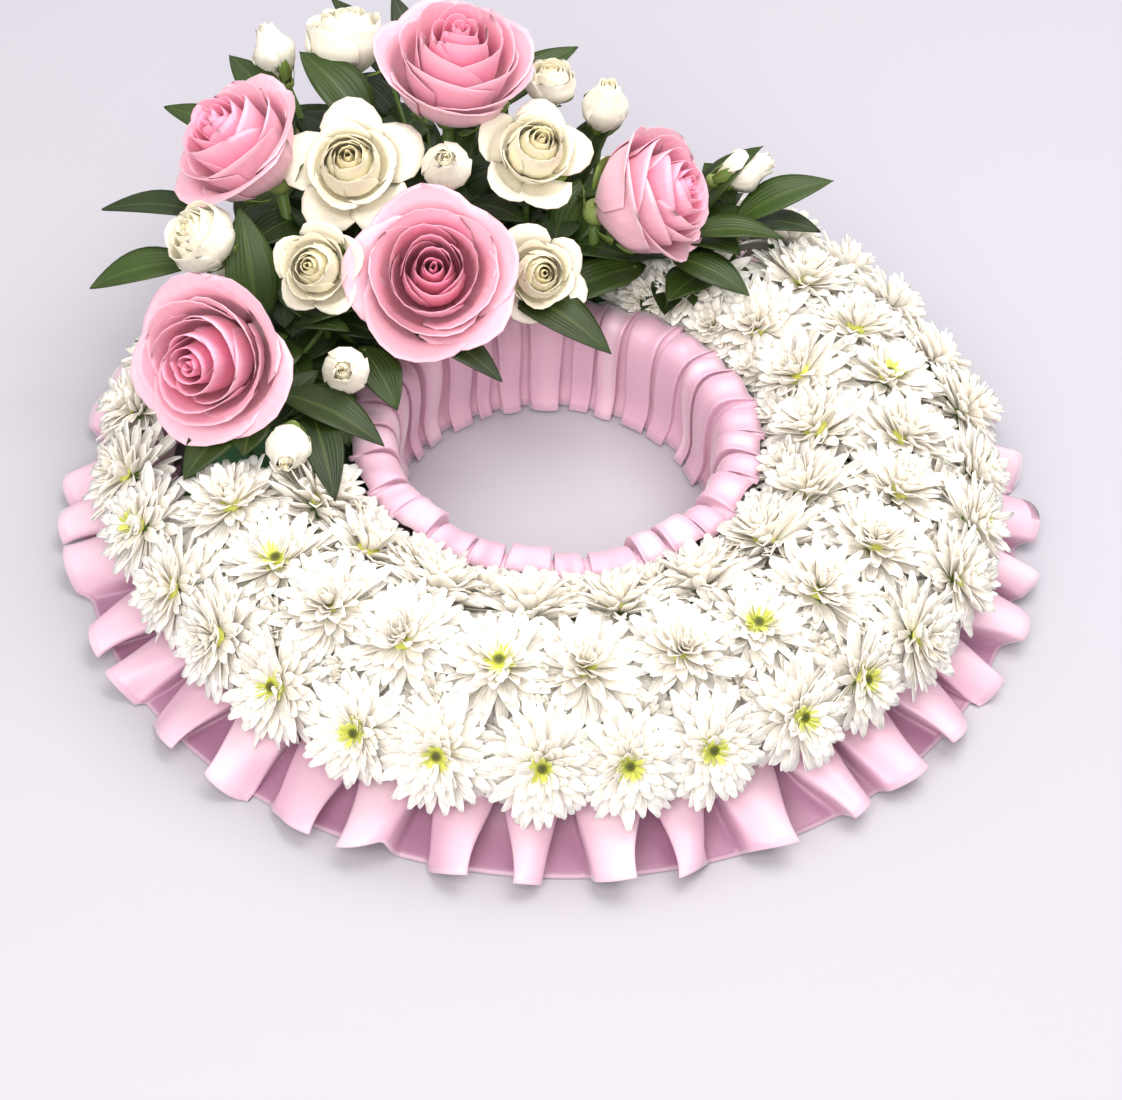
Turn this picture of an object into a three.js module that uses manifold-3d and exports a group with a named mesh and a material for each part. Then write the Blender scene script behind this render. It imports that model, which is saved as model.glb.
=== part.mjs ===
// Memorial wreath: a wet-foam ring on a polystyrene backing, edged inside and outside with pleated
// satin ribbon, massed with white spray chrysanthemums and finished with a raised corner spray of
// pink roses, cream spray roses and ruscus.
// Millimetres, +Z up. The origin is the centre of the hole on the surface that the wreath lies on.
import * as THREE from 'three';
import { mergeVertices } from 'three/addons/utils/BufferGeometryUtils.js';
import Module from 'manifold-3d';

const wasm = await Module();
wasm.setup();

// ---- driving dimensions ----
const GAP = 0.3; // air between pieces that touch
const RING = { inner: 77, outer: 153 }; // radii of the foam and its backing
const BACKING_TOP = 16;
const FOAM_TOP = 38;
const FOAM_PROFILE = [ // the domed ring's radius and height, from the hole outwards
  [77, 18],
  [86, 28],
  [98, 33],
  [112, 36],
  [126, FOAM_TOP],
  [136, FOAM_TOP],
  [146, 34],
  [153, 26],
];
const RING_SIDES = 48;

const RIBBON_THICK = 0.8;
const OUTER_PLEATS = 40;
const OUTER_FRILL = [ // radius and height, in the folds' hollows and on their crests
  { hollow: [154.2, 21.5], crest: [158, 21.5] },
  { hollow: [187, 0.9], crest: [204, 6.5] },
];
const INNER_PLEATS = 30;
const INNER_FRILL = [
  { hollow: [79.5, 54], crest: [74, 54] },
  { hollow: [66, 0.9], crest: [60, 0.9] },
];

const HEAD = { radius: 23, depth: 17 }; // one chrysanthemum
// Rows of heads: radius and height of the eyes, lean from upright (+ is outwards), heads in a full
// circle, the stretch of the circle that they fill in degrees, and the stem below the calyx.
const FLANK = { radius: 180, z: 44, lean: 58, count: 32, from: 0, to: 360, stem: 27 };
const CROWN = { radius: 142, z: 62, lean: 14, count: 26, from: -152, to: 50, stem: 24 };
const LIP = { radius: 103, z: 55, lean: -30, count: 19, from: -150, to: 60, stem: 19 };
const HEADS_ON_A_STEM = 3;

const ROSE = { width: 62, height: 50 };
const STEM_RADIUS = { rose: 2.6, sprayRose: 1.7, chrysanthemum: 1.6, ruscus: 1.3 };
const STEM_IN_FOAM = 16; // below the foam's top
const LEAF_THICK = 1.4;

// ---- materials ----
const finish = (color, roughness) => new THREE.MeshStandardMaterial({ color, roughness, metalness: 0 });
const MATERIALS = {
  backing: () => finish('#f4f3ee', 0.7),
  foam: () => finish('#3f6b45', 0.95),
  ribbon: () => finish('#e3bfd0', 0.35),
  white: () => finish('#f8f3ea', 0.6),
  pink: () => finish('#f1b3c4', 0.5),
  cream: () => finish('#f5e8c8', 0.5),
  leaf: () => finish('#4d5f2a', 0.4),
};

// ---- small helpers ----
const group = new THREE.Group();
const UP = new THREE.Vector3(0, 0, 1);
const vec = (list) => new THREE.Vector3(...list);
const radians = THREE.MathUtils.degToRad;
function polar(radius, angle, z) {
  return new THREE.Vector3(radius * Math.cos(angle), radius * Math.sin(angle), z);
}

// An even spread of values in -1..1 that is the same on every run.
const scatter = (n) => 2 * THREE.MathUtils.euclideanModulo(n * 0.618034 + 0.5, 1) - 1;

// A surface skinned over rings of points, counter-clockwise seen from the far end. A ring of one
// point is a pole; `joined` closes the last ring back on the first.
function skin(rings, joined = false) {
  const positions = [];
  const starts = [];
  for (const ring of rings) {
    starts.push(positions.length / 3);
    for (const point of ring) {
      positions.push(point.x, point.y, point.z);
    }
  }
  const index = [];
  const last = joined ? rings.length : rings.length - 1;
  for (let i = 0; i < last; i += 1) {
    const next = (i + 1) % rings.length;
    const [near, far] = [rings[i].length, rings[next].length];
    const sides = Math.max(near, far);
    for (let k = 0; k < sides; k += 1) {
      const a = starts[i] + (k % near);
      const b = starts[i] + ((k + 1) % near);
      const c = starts[next] + ((k + 1) % far);
      const d = starts[next] + (k % far);
      if (near > 1) {
        index.push(a, b, c);
      }
      if (far > 1) {
        index.push(a, c, d);
      }
    }
  }
  const geometry = new THREE.BufferGeometry();
  geometry.setAttribute('position', new THREE.Float32BufferAttribute(positions, 3));
  geometry.setIndex(index);
  return geometry;
}

function toSolid(geometry) {
  const bare = geometry.clone();
  bare.deleteAttribute('normal');
  bare.deleteAttribute('uv');
  const merged = mergeVertices(bare, 1e-3);
  const vertProperties = new Float32Array(merged.attributes.position.array);
  const triVerts = new Uint32Array(merged.index.array);
  return new wasm.Manifold(new wasm.Mesh({ numProp: 3, vertProperties, triVerts }));
}

function toGeometry(solid) {
  const mesh = solid.getMesh();
  const geometry = new THREE.BufferGeometry();
  geometry.setAttribute('position', new THREE.BufferAttribute(mesh.vertProperties, 3));
  geometry.setIndex(new THREE.BufferAttribute(mesh.triVerts, 1));
  return geometry;
}

const moved = (solid, matrix) => solid.transform(matrix.elements);
const joinAll = (solids) => solids.reduce((whole, piece) => whole.add(piece));

// The turn that points a flower's +Z along `facing`, after a spin about its own axis.
function pose(position, facing, spin = 0) {
  const turn = new THREE.Quaternion().setFromUnitVectors(UP, facing.clone().normalize());
  turn.multiply(new THREE.Quaternion().setFromAxisAngle(UP, spin));
  return new THREE.Matrix4().compose(position, turn, new THREE.Vector3(1, 1, 1));
}

function addMesh(name, geometry, material, matrix = new THREE.Matrix4()) {
  const mesh = new THREE.Mesh(geometry, material);
  mesh.name = name;
  mesh.applyMatrix4(matrix);
  group.add(mesh);
}

// A straight stem with `sides` sides.
function stem(from, to, radius, sides = 5) {
  const section = new THREE.Shape();
  for (let k = 0; k < sides; k += 1) {
    const angle = (k / sides) * 2 * Math.PI;
    const draw = k === 0 ? 'moveTo' : 'lineTo';
    section[draw](radius * Math.cos(angle), radius * Math.sin(angle));
  }
  const settings = { steps: 1, extrudePath: new THREE.LineCurve3(from, to), bevelEnabled: false };
  return toSolid(new THREE.ExtrudeGeometry(section, settings));
}

// The solid swollen about `centre` so that its surface moves out by about the gap.
function swollen(solid, centre, size) {
  const scale = 1 + (2.6 * GAP) / size;
  const matrix = new THREE.Matrix4().makeScale(scale, scale, scale);
  return moved(solid, matrix.setPosition(centre.clone().multiplyScalar(1 - scale)));
}

// Everything already standing, each swollen by the gap, so that what comes later is cut clear of it.
const standing = [];
const foamHoles = [];

function boxesMeet(a, b) {
  return [0, 1, 2].every((axis) => a.min[axis] < b.max[axis] && b.min[axis] < a.max[axis]);
}

function clearOfOthers(solid) {
  let result = solid;
  for (const other of standing) {
    if (boxesMeet(result.boundingBox(), other.boundingBox())) {
      result = result.subtract(other);
    }
  }
  const pieces = result.decompose();
  return pieces.reduce((best, piece) => (piece.volume() > best.volume() ? piece : best));
}

// ---- backing and foam ----
function turnedRing(profile) {
  const points = [...profile, profile[0]].map(([radius, z]) => new THREE.Vector2(radius, z));
  return new THREE.LatheGeometry(points, RING_SIDES).rotateX(Math.PI / 2);
}

function backingRing() {
  const geometry = turnedRing([
    [RING.inner, 0],
    [RING.outer, 0],
    [RING.outer, BACKING_TOP],
    [RING.inner, BACKING_TOP],
  ]);
  addMesh('backing_ring', geometry, MATERIALS.backing());
}

function foamRing() {
  const bottom = BACKING_TOP + GAP;
  const dome = [...FOAM_PROFILE].reverse();
  let foam = toSolid(turnedRing([[RING.inner, bottom], [RING.outer, bottom], ...dome]));
  for (const hole of foamHoles) {
    foam = foam.subtract(hole);
  }
  addMesh('foam_ring', toGeometry(foam), MATERIALS.foam());
}

// ---- pleated ribbon ----
// Box pleats: each fold's crest is a little wider than its root, so the hollows beside it are
// undercut. `crestShare` and `hollowShare` are the half widths of the two, as shares of a pleat.
function pleatedRibbon(name, rows, pleats, facing) {
  const pitch = (2 * Math.PI) / pleats;
  const crestShare = 0.3;
  const hollowShare = 0.22;
  const ring = (row, side) => {
    const [crestRadius, crestZ] = row.crest;
    const [hollowRadius, hollowZ] = row.hollow;
    const wall = side === 'front' ? 0 : RIBBON_THICK / crestRadius;
    const shift = side === 'front' ? 0 : -facing * RIBBON_THICK;
    const drop = side === 'front' ? 0 : -RIBBON_THICK * 0.8;
    const crestHalf = pitch * crestShare - wall;
    const hollowHalf = pitch * hollowShare + wall;
    const points = [];
    for (let k = 0; k < pleats; k += 1) {
      const crest = k * pitch;
      const hollow = crest + pitch / 2;
      points.push(polar(crestRadius + shift, crest - crestHalf, crestZ + drop));
      points.push(polar(crestRadius + shift, crest + crestHalf, crestZ + drop));
      points.push(polar(hollowRadius + shift, hollow - hollowHalf, hollowZ + drop));
      points.push(polar(hollowRadius + shift, hollow + hollowHalf, hollowZ + drop));
    }
    return points;
  };
  const front = rows.map((row) => ring(row, 'front'));
  const back = rows.map((row) => ring(row, 'back'));
  const loop = facing > 0 ? [...back, ...front.reverse()] : [...front, ...back.reverse()];
  addMesh(name, skin(loop, true), MATERIALS.ribbon());
}

// ---- chrysanthemums ----
// Rings about the flower's axis, from the calyx at the origin up to the eye. `ripple` lengthens
// every other petal.
function petalRing(radius, z, sides, ripple = 0, lift = 0, turn = 0) {
  return Array.from({ length: sides }, (_, k) => {
    const wave = k % 2 === 0 ? 1 : -1;
    return polar(radius + ripple * wave, ((k + turn) / sides) * 2 * Math.PI, z + lift * wave);
  });
}

function chrysanthemum(size) {
  const radius = HEAD.radius * size;
  const depth = HEAD.depth * size;
  const sides = 8;
  return toSolid(skin([
    [new THREE.Vector3()],
    petalRing(radius - 1.5, depth * 0.42, sides, 1.5, 1),
    petalRing(radius * 0.68, depth * 0.88, sides, 1, 0, 0.5),
    [new THREE.Vector3(0, 0, depth)],
  ]));
}

function rowOfHeads(row, seed) {
  const heads = [];
  for (let k = 0; k < row.count; k += 1) {
    const degrees = row.from + (k * 360) / row.count;
    if (degrees > row.to) {
      break;
    }
    const angle = radians(degrees + 1.1 * scatter(seed + k));
    const lean = radians(row.lean + 4 * scatter(seed + 2 * k));
    const facing = polar(Math.sin(lean), angle, Math.cos(lean));
    const radius = row.radius + 1.5 * scatter(seed + 3 * k);
    const eye = polar(radius, angle, row.z + 1.5 * scatter(seed + 5 * k));
    const size = 1 + 0.04 * scatter(seed + 7 * k);
    const base = eye.clone().addScaledVector(facing, -HEAD.depth * size);
    const matrix = pose(base, facing, 3 * scatter(seed + 11 * k));
    heads.push({ eye, base, facing, matrix, size, stem: row.stem });
  }
  return heads;
}

// Flowers on neighbouring stems press flat against each other, half way between their eyes.
function pressed(solid, head, others) {
  let result = solid;
  for (const other of others) {
    const apart = head.eye.clone().sub(other.eye);
    if (apart.length() < 2.2 * HEAD.radius) {
      const middle = head.eye.clone().add(other.eye).multiplyScalar(0.5);
      const normal = apart.normalize();
      result = result.trimByPlane(normal.toArray(), normal.dot(middle) + GAP / 2);
    }
  }
  return result;
}

function chrysanthemums() {
  const rows = [rowOfHeads(FLANK, 1), rowOfHeads(CROWN, 40), rowOfHeads(LIP, 80)];
  const all = rows.flat();
  let number = 0;
  for (const row of rows) {
    for (let first = 0; first < row.length; first += HEADS_ON_A_STEM) {
      number += 1;
      const mine = row.slice(first, first + HEADS_ON_A_STEM);
      const others = all.filter((head) => !mine.includes(head));
      const blooms = mine.map((head) => moved(chrysanthemum(head.size), head.matrix));
      const flowers = blooms.map((bloom, n) => pressed(bloom, mine[n], others));
      const middle = mine[Math.floor(mine.length / 2)];
      const necks = mine.map((head) => head.base.clone().addScaledVector(head.facing, HEAD.depth / 3));
      const fork = middle.base.clone().addScaledVector(middle.facing, HEAD.depth / 3);
      const foot = middle.base.clone().addScaledVector(middle.facing, -middle.stem);
      const holeEnd = foot.clone().addScaledVector(middle.facing, -GAP);
      foamHoles.push(stem(fork, holeEnd, STEM_RADIUS.chrysanthemum + GAP));
      const shoots = necks.filter((neck) => neck.distanceTo(fork) > 1);
      const sprig = joinAll([
        ...flowers,
        stem(fork, foot, STEM_RADIUS.chrysanthemum),
        ...shoots.map((neck) => stem(fork, neck, STEM_RADIUS.chrysanthemum)),
      ]);
      standing.push(...blooms.map((bloom, n) => {
        const centre = mine[n].base.clone().lerp(mine[n].eye, 0.5);
        return swollen(bloom, centre, HEAD.depth);
      }));
      const name = `chrysanthemum_${String(number).padStart(2, '0')}`;
      const geometry = toGeometry(moved(sprig, middle.matrix.clone().invert()));
      addMesh(name, geometry, MATERIALS.white(), middle.matrix);
    }
  }
}

// ---- roses ----
// A bloom as tiers of petals: each tier swells from its root to a lobed rim and steps in to the
// next, with its lobes between those of the tier outside it.
function tieredBloom(width, height, tiers, sides, lobes) {
  const radius = width / 2;
  const rings = [[new THREE.Vector3()]];
  tiers.forEach((tier, level) => {
    const ring = (share, z, ripple) => Array.from({ length: sides }, (_, k) => {
      const angle = (k / sides) * 2 * Math.PI;
      const lobe = ripple * Math.cos(lobes * angle + level * Math.PI);
      return polar(share * radius * (1 + lobe), angle, height * (z + 0.3 * lobe));
    });
    rings.push(ring(tier.root, tier.rootZ, 0.02));
    rings.push(ring(tier.rim, tier.rimZ, tier.ripple));
  });
  rings.push([new THREE.Vector3(0, 0, height * (tiers.at(-1).rimZ - 0.04))]);
  return toSolid(skin(rings));
}

const ROSE_TIERS = [
  { root: 0.62, rootZ: 0.16, rim: 1, rimZ: 0.56, ripple: 0.07 },
  { root: 0.74, rootZ: 0.58, rim: 0.72, rimZ: 0.78, ripple: 0.06 },
  { root: 0.5, rootZ: 0.8, rim: 0.46, rimZ: 0.95, ripple: 0.05 },
];
const SPRAY_ROSE_TIERS = [
  { root: 0.55, rootZ: 0.2, rim: 1, rimZ: 0.66, ripple: 0.09 },
  { root: 0.55, rootZ: 0.72, rim: 0.5, rimZ: 0.96, ripple: 0.08 },
];
const BUD_TIERS = [
  { root: 0.55, rootZ: 0.08, rim: 1, rimZ: 0.36, ripple: 0 },
  { root: 0.86, rootZ: 0.62, rim: 0.4, rimZ: 0.94, ripple: 0.04 },
];

const ROSES = [
  { at: [-52, 127, 130], facing: [0.1, -0.15, 0.95], width: 65 },
  { at: [-136, 85, 115], facing: [-0.55, -0.15, 0.75], width: 58 },
  { at: [-134, -24, 95], facing: [-0.3, -0.8, 0.5], width: 62 },
  { at: [-54, 40, 90], facing: [0.05, -0.65, 0.75], width: 65 },
  { at: [31, 94, 95], facing: [0.8, -0.2, 0.5], width: 60 },
];
const SPRAY_ROSES = [
  { at: [-91, 78, 115], facing: [0, -0.6, 0.8], width: 44 },
  { at: [-101, 35, 95], facing: [-0.2, -0.7, 0.65], width: 34 },
  { at: [-16, 100, 112], facing: [0.2, -0.5, 0.85], width: 40 },
  { at: [-148, 48, 95], facing: [-0.6, -0.2, 0.75], width: 32 },
  { at: [-11, 58, 80], facing: [0.2, -0.7, 0.65], width: 34, foot: [-2, 98] },
  { at: [-101, 157, 120], facing: [-0.1, 0.3, 0.9], width: 38 },
  { at: [-12, 148, 112], facing: [0, 0, 1], width: 24 },
];
const ROSE_BUDS = [
  { at: [-52, 85, 112], facing: [0, -0.6, 0.8], width: 22 },
  { at: [-85, -7, 78], facing: [0, -0.7, 0.6], width: 20 },
  { at: [-103, -49, 74], facing: [0, -0.9, 0.15], width: 19, foot: [-112, -20] },
  { at: [12, 143, 105], facing: [0.1, -0.1, 0.95], width: 22 },
  { at: [73, 124, 90], facing: [0.9, 0.1, 0.35], width: 20 },
  { at: [-132, 158, 112], facing: [-0.4, 0.4, 0.8], width: 20 },
];

// Where a stem under a flower goes into the foam: straight out from the hole, kept to the flat top.
function footOn(base) {
  const angle = Math.atan2(base.y, base.x);
  const radius = THREE.MathUtils.clamp(Math.hypot(base.x, base.y), RING.inner + 14, RING.outer - 14);
  return polar(radius, angle, FOAM_TOP);
}

function flower(name, spec, height, radius, bloom, material) {
  const facing = vec(spec.facing).normalize();
  const base = vec(spec.at).addScaledVector(facing, -0.5 * height);
  const matrix = pose(base, facing, 2 * scatter(spec.at[0] + spec.at[1]));
  const neck = base.clone().addScaledVector(facing, 0.12 * height);
  const entry = spec.foot ? new THREE.Vector3(...spec.foot, FOAM_TOP) : footOn(base);
  const down = entry.clone().sub(neck).normalize();
  const foot = entry.clone().addScaledVector(down, STEM_IN_FOAM);
  foamHoles.push(stem(neck, foot.clone().addScaledVector(down, GAP), radius + GAP));
  const placed = moved(bloom, matrix);
  const whole = clearOfOthers(placed).add(stem(neck, foot, radius));
  standing.push(swollen(placed, vec(spec.at), height), stem(neck, foot, radius + GAP));
  addMesh(name, toGeometry(moved(whole, matrix.clone().invert())), material, matrix);
}

function roses() {
  ROSES.forEach((spec, n) => {
    const height = (ROSE.height / ROSE.width) * spec.width;
    const bloom = tieredBloom(spec.width, height, ROSE_TIERS, 20, 5);
    flower(`rose_${n + 1}`, spec, height, STEM_RADIUS.rose, bloom, MATERIALS.pink());
  });
}

function sprayRoses() {
  SPRAY_ROSES.forEach((spec, n) => {
    const height = 0.8 * spec.width;
    const bloom = tieredBloom(spec.width, height, SPRAY_ROSE_TIERS, 12, 4);
    flower(`spray_rose_${n + 1}`, spec, height, STEM_RADIUS.sprayRose, bloom, MATERIALS.cream());
  });
  ROSE_BUDS.forEach((spec, n) => {
    const height = 1.35 * spec.width;
    const bloom = tieredBloom(spec.width, height, BUD_TIERS, 8, 4);
    flower(`rose_bud_${n + 1}`, spec, height, STEM_RADIUS.sprayRose, bloom, MATERIALS.cream());
  });
}

// ---- ruscus ----
// Each sprig: where its stem enters the foam, and its leaves as [base, tip, width].
const RUSCUS = [
  {
    foot: [-126, 54],
    leaves: [
      [[-152, 52, 80], [-196, 41, 72], 20],
      [[-148, 76, 86], [-197, 81, 82], 17],
    ],
  },
  {
    foot: [-108, 92],
    leaves: [
      [[-140, 110, 98], [-176, 126, 104], 18],
      [[-124, 124, 96], [-153, 163, 107], 18],
    ],
  },
  {
    foot: [-84, 98],
    leaves: [
      [[-86, 112, 106], [-120, 147, 122], 24],
      [[-86, 114, 86], [-124, 150, 88], 22],
    ],
  },
  {
    foot: [-56, 124],
    leaves: [
      [[-80, 160, 98], [-112, 196, 118], 18],
      [[-68, 158, 98], [-84, 190, 126], 16],
    ],
  },
  {
    foot: [-26, 122],
    leaves: [
      [[-34, 150, 96], [-1, 181, 110], 18],
      [[-40, 144, 80], [-62, 184, 92], 20],
    ],
  },
  {
    foot: [72, 116],
    leaves: [
      [[70, 110, 72], [113, 127, 86], 18],
      [[50, 96, 76], [92, 96, 77], 18],
      [[44, 88, 70], [78, 70, 66], 18],
    ],
  },
  {
    foot: [22, 98],
    leaves: [
      [[34, 86, 66], [-10, 60, 58], 24],
    ],
  },
  {
    foot: [-34, 90],
    leaves: [
      [[-28, 66, 66], [21, 36, 58], 22],
    ],
  },
  {
    foot: [-84, 50],
    leaves: [
      [[-64, 36, 68], [-23, 9, 63], 18],
      [[-82, 22, 66], [-64, -9, 60], 18],
    ],
  },
  {
    foot: [-110, 2],
    leaves: [
      [[-112, -14, 70], [-67, -35, 64], 20],
      [[-98, -20, 68], [-83, -68, 59], 17],
    ],
  },
  {
    foot: [-120, -24],
    leaves: [
      [[-124, -28, 68], [-143, -60, 63], 18],
    ],
  },
];
// Short sprigs pushed in under the flowers, at these places round the ring in degrees. Each has a
// leaf towards the hole, one outwards and one that stands up between the stems.
const UNDERGROWTH = [66, 92, 116, 140, 165];

// The arched midline of a leaf.
function leafSpine(base, tip, share) {
  const along = tip.clone().sub(base);
  const across = new THREE.Vector3().crossVectors(UP, along).normalize();
  const lift = new THREE.Vector3().crossVectors(along, across).normalize();
  const middle = base.clone().addScaledVector(along, share);
  middle.addScaledVector(lift, 0.09 * along.length() * Math.sin(Math.PI * share));
  return { middle, across, lift };
}

// A lens-shaped blade with a pointed tip.
function leafBlade(base, tip, width, grow = 0) {
  const rings = [[base.clone()]];
  for (const share of [0.2, 0.45, 0.72]) {
    const { middle, across, lift } = leafSpine(base, tip, share);
    const half = (width / 2) * Math.sin(Math.PI * share ** 0.85) + grow;
    const thick = LEAF_THICK / 2 + grow;
    rings.push([
      middle.clone().addScaledVector(across, half),
      middle.clone().addScaledVector(lift, thick),
      middle.clone().addScaledVector(across, -half),
      middle.clone().addScaledVector(lift, -thick),
    ]);
  }
  rings.push([tip.clone()]);
  return toSolid(skin(rings));
}

function ruscusSprig(name, footPlace, leaves) {
  const entry = new THREE.Vector3(...footPlace, FOAM_TOP);
  const foot = entry.clone().setZ(FOAM_TOP - STEM_IN_FOAM);
  const fork = entry.clone().setZ(FOAM_TOP + 2);
  foamHoles.push(stem(entry, foot.clone().setZ(foot.z - GAP), STEM_RADIUS.ruscus + GAP));
  const blades = leaves.map(([base, tip, width]) => leafBlade(base, tip, width));
  const twig = (base, tip, radius) => stem(fork, leafSpine(base, tip, 0.2).middle, radius, 4);
  const twigs = leaves.map(([base, tip]) => twig(base, tip, STEM_RADIUS.ruscus));
  const stalk = stem(fork.clone().setZ(fork.z + 1), foot, STEM_RADIUS.ruscus);
  const whole = clearOfOthers(joinAll([...blades, ...twigs, stalk]));
  for (const [base, tip, width] of leaves) {
    standing.push(leafBlade(base, tip, width, GAP), twig(base, tip, STEM_RADIUS.ruscus + GAP));
  }
  addMesh(name, toGeometry(whole), MATERIALS.leaf());
}

function ruscus() {
  RUSCUS.forEach((sprig, n) => {
    const leaves = sprig.leaves.map(([base, tip, width]) => [vec(base), vec(tip), width]);
    ruscusSprig(`ruscus_${n + 1}`, sprig.foot, leaves);
  });
  UNDERGROWTH.forEach((degrees, n) => {
    const angle = radians(degrees);
    const spread = radians(9);
    const foot = polar(118, angle, 0);
    const leaves = [
      [polar(110, angle - spread, 58), polar(80, angle - spread, 62), 20],
      [polar(126, angle + spread, 58), polar(172, angle + 1.4 * spread, 74), 22],
      [polar(130, angle, 62), polar(148, angle - spread, 104), 22],
    ];
    ruscusSprig(`ruscus_${RUSCUS.length + n + 1}`, [foot.x, foot.y], leaves);
  });
}

chrysanthemums();
roses();
sprayRoses();
ruscus();
foamRing();
backingRing();
pleatedRibbon('outer_ribbon', OUTER_FRILL, OUTER_PLEATS, 1);
pleatedRibbon('inner_ribbon', INNER_FRILL, INNER_PLEATS, -1);

export default group;
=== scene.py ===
"""Memorial wreath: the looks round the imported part. Blender 4.5, metres, +Z up."""

import math
import random

import bmesh
import bpy
from mathutils import Matrix, Quaternion, Vector


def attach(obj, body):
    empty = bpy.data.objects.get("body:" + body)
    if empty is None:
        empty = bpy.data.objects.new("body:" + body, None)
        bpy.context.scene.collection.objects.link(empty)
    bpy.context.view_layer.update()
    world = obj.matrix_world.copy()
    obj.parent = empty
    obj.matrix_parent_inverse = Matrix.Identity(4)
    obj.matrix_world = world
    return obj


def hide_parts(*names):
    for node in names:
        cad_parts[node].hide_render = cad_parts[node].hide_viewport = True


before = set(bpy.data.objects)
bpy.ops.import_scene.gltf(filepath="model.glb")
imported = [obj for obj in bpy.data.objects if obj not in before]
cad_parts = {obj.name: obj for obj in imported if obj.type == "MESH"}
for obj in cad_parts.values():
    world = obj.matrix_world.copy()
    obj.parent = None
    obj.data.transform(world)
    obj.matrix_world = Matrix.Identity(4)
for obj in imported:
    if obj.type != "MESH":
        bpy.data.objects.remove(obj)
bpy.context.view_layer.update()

MM = 0.001
UP = Vector((0, 0, 1))
TURN = 2 * math.pi
GOLDEN = math.radians(137.5)

# ---- the wreath's own sizes, in millimetres, as in the part's source ----
FOAM_TOP = 38
STEM_IN_FOAM = 16
HEAD_DEPTH = 17
RING_INNER, RING_OUTER = 77, 153
STEM_MARGIN = 14  # how far inside the foam's sides a stem goes in
# Rows of chrysanthemum heads: radius and height of the eyes, lean from upright, heads in a full
# circle, the stretch of the circle filled, the stem below the calyx, where the row's scatter
# starts, which of its heads are open to the eye, how far its petals spread beyond the solid head,
# and for the half-open heads tucked in between: radius and height of the calyx, lean and size.
FLANK = dict(radius=180, z=44, lean=58, count=32, start=0, end=360, stem=27, seed=1,
             open=(2, 6, 9, 12, 15, 18, 21, 22, 23, 24, 25, 26, 27, 28, 31), spread=1.04)
CROWN = dict(radius=142, z=62, lean=14, count=26, start=-152, end=50, stem=24, seed=40,
             open=(1, 4, 7, 12), spread=1.14, shoots=(150, 37, 36, 0.85))
LIP = dict(radius=103, z=55, lean=-30, count=19, start=-150, end=60, stem=19, seed=80,
           open=(11,), spread=1.24, shoots=(101, 37, -34.4, 0.92))
HEADS_ON_A_STEM = 3

# The dressed frills' own lines, near those of the plain solids but not the same: radius and
# height at the top and at the hem, in the hollows and on the crests.
OUTER_PLEATS = 40
OUTER_HOLLOW = ((154.2, 21.5), (195, 0.9))
OUTER_CREST = ((158, 21.5), (204, 6.5))
INNER_PLEATS = 30
INNER_HOLLOW = ((86, 46), (66, 0.9))
INNER_CREST = ((84, 47), (60, 0.9))

# Blooms: middle, the way they face, width.
ROSES = (
    ((-52, 127, 130), (0.1, -0.15, 0.95), 65),
    ((-136, 85, 115), (-0.55, -0.15, 0.75), 58),
    ((-134, -24, 95), (-0.3, -0.8, 0.5), 62),
    ((-54, 40, 90), (0.05, -0.65, 0.75), 65),
    ((31, 94, 95), (0.8, -0.2, 0.5), 60),
)
SPRAY_ROSES = (
    ((-91, 78, 115), (0, -0.6, 0.8), 44),
    ((-101, 35, 95), (-0.2, -0.7, 0.65), 34),
    ((-16, 100, 112), (0.2, -0.5, 0.85), 40),
    ((-148, 48, 95), (-0.6, -0.2, 0.75), 32),
    ((-11, 58, 80), (0.2, -0.7, 0.65), 34),
    ((-101, 157, 120), (-0.1, 0.3, 0.9), 38),
    ((-12, 148, 112), (0, 0, 1), 24),
)
ROSE_BUDS = (
    ((-52, 85, 112), (0, -0.6, 0.8), 22),
    ((-85, -7, 78), (0, -0.7, 0.6), 20),
    ((-103, -49, 74), (0, -0.9, 0.15), 19),
    ((12, 143, 105), (0.1, -0.1, 0.95), 22),
    ((73, 124, 90), (0.9, 0.1, 0.35), 20),
    ((-132, 158, 112), (-0.4, 0.4, 0.8), 20),
)
# Where a stem doesn't go straight out from the hole.
FEET = {"spray_rose_5": (-2, 98), "rose_bud_3": (-112, -20)}

# Ruscus sprigs: foot, then each leaf's base, tip and width.
RUSCUS = (
    ((-126, 54), (((-152, 52, 80), (-196, 41, 72), 20), ((-148, 76, 86), (-197, 81, 82), 17))),
    ((-108, 92), (((-140, 110, 98), (-176, 126, 104), 18),
                  ((-124, 124, 96), (-153, 163, 107), 18))),
    ((-84, 98), (((-86, 112, 106), (-120, 147, 122), 24), ((-86, 114, 86), (-124, 150, 88), 22))),
    ((-56, 124), (((-80, 160, 98), (-112, 196, 118), 18), ((-68, 158, 98), (-84, 190, 126), 16))),
    ((-26, 122), (((-34, 150, 96), (-1, 181, 110), 18), ((-40, 144, 80), (-62, 184, 92), 20))),
    ((72, 116), (((70, 110, 72), (113, 127, 86), 18), ((50, 96, 76), (92, 96, 77), 18),
                ((44, 88, 70), (78, 70, 66), 18))),
    ((22, 98), (((34, 86, 66), (-10, 60, 58), 24),)),
    ((-34, 90), (((-28, 66, 66), (21, 36, 58), 22),)),
    ((-84, 50), (((-64, 36, 68), (-23, 9, 63), 18), ((-82, 22, 66), (-64, -9, 60), 18))),
    ((-110, 2), (((-112, -14, 70), (-67, -35, 64), 20), ((-98, -20, 68), (-83, -68, 64), 17))),
    ((-120, -24), (((-124, -28, 68), (-143, -60, 63), 18),)),
)
UNDERGROWTH = (66, 92, 116, 140, 165)  # places of the short sprigs, in degrees
LEAF_REACH = 172  # the low leaves stay within this radius
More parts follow.
